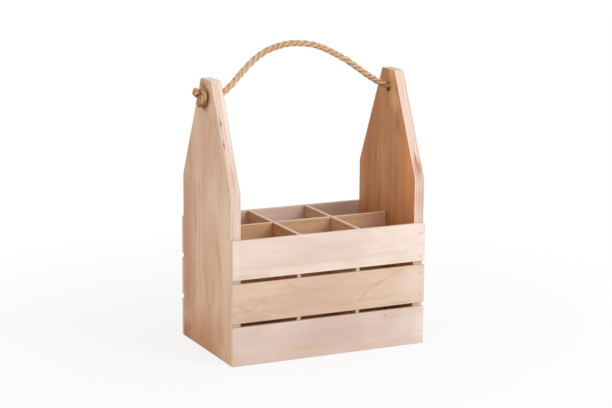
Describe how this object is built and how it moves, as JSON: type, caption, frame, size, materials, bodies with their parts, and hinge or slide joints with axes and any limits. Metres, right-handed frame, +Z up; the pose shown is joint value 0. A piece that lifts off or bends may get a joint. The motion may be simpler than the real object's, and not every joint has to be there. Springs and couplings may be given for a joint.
{
  "type": "wooden bottle carrier",
  "caption": "Open wooden carrier with tapered plywood ends, slatted sides, a lift-out divider grid for bottles and a knotted rope handle.",
  "frame": {"origin": "on the ground under the middle of the box, halfway between the end panels and between the front and back slats", "axes": "+X from the left end panel to the right one, +Y from the front slats to the back slats, +Z up"},
  "size_m": [0.2831, 0.1566, 0.3709],
  "materials": {
    "plywood": "bare sanded birch plywood, plies showing on its edges",
    "slat_wood": "bare sanded pale wood",
    "board_wood": "bare sanded plywood",
    "divider_wood": "bare sanded plywood strip",
    "rope_fibre": "laid natural fibre rope, hairy and matt",
    "brad_steel": "dull steel brad heads"
  },
  "bodies": {
    "box": {"end_panel_left": "plywood", "end_panel_right": "plywood", "bottom_board": "board_wood", "front_slat_lower": "slat_wood", "front_slat_middle": "slat_wood", "front_slat_upper": "slat_wood", "back_slat_lower": "slat_wood", "back_slat_middle": "slat_wood", "back_slat_upper": "slat_wood", "brad_front_left_1": "brad_steel", "brad_front_left_2": "brad_steel", "brad_front_left_3": "brad_steel", "brad_front_left_4": "brad_steel", "brad_front_left_5": "brad_steel", "brad_front_left_6": "brad_steel", "brad_front_right_1": "brad_steel", "brad_front_right_2": "brad_steel", "brad_front_right_3": "brad_steel", "brad_front_right_4": "brad_steel", "brad_front_right_5": "brad_steel", "brad_front_right_6": "brad_steel", "brad_back_left_1": "brad_steel", "brad_back_left_2": "brad_steel", "brad_back_left_3": "brad_steel", "brad_back_left_4": "brad_steel", "brad_back_left_5": "brad_steel", "brad_back_left_6": "brad_steel", "brad_back_right_1": "brad_steel", "brad_back_right_2": "brad_steel", "brad_back_right_3": "brad_steel", "brad_back_right_4": "brad_steel", "brad_back_right_5": "brad_steel", "brad_back_right_6": "brad_steel", "board_brad_left_front": "brad_steel", "board_brad_left_middle": "brad_steel", "board_brad_left_back": "brad_steel", "board_brad_right_front": "brad_steel", "board_brad_right_middle": "brad_steel", "board_brad_right_back": "brad_steel"},
    "divider_grid": {"long_divider": "divider_wood", "cross_divider_left": "divider_wood", "cross_divider_right": "divider_wood"},
    "handle": {"rope_handle": "rope_fibre", "rope_knot_left": "rope_fibre", "rope_knot_right": "rope_fibre"}
  },
  "joints": [
    {"name": "handle_swing", "type": "hinge", "parent": "box", "child": "handle", "pos_m": [0, 0, 0.308], "axis": [1, 0, 0], "range_deg": [-90, 90]},
    {"name": "divider_lift", "type": "slide", "parent": "box", "child": "divider_grid", "axis": [0, 0, 1], "range_m": [0, 0.145]}
  ]
}
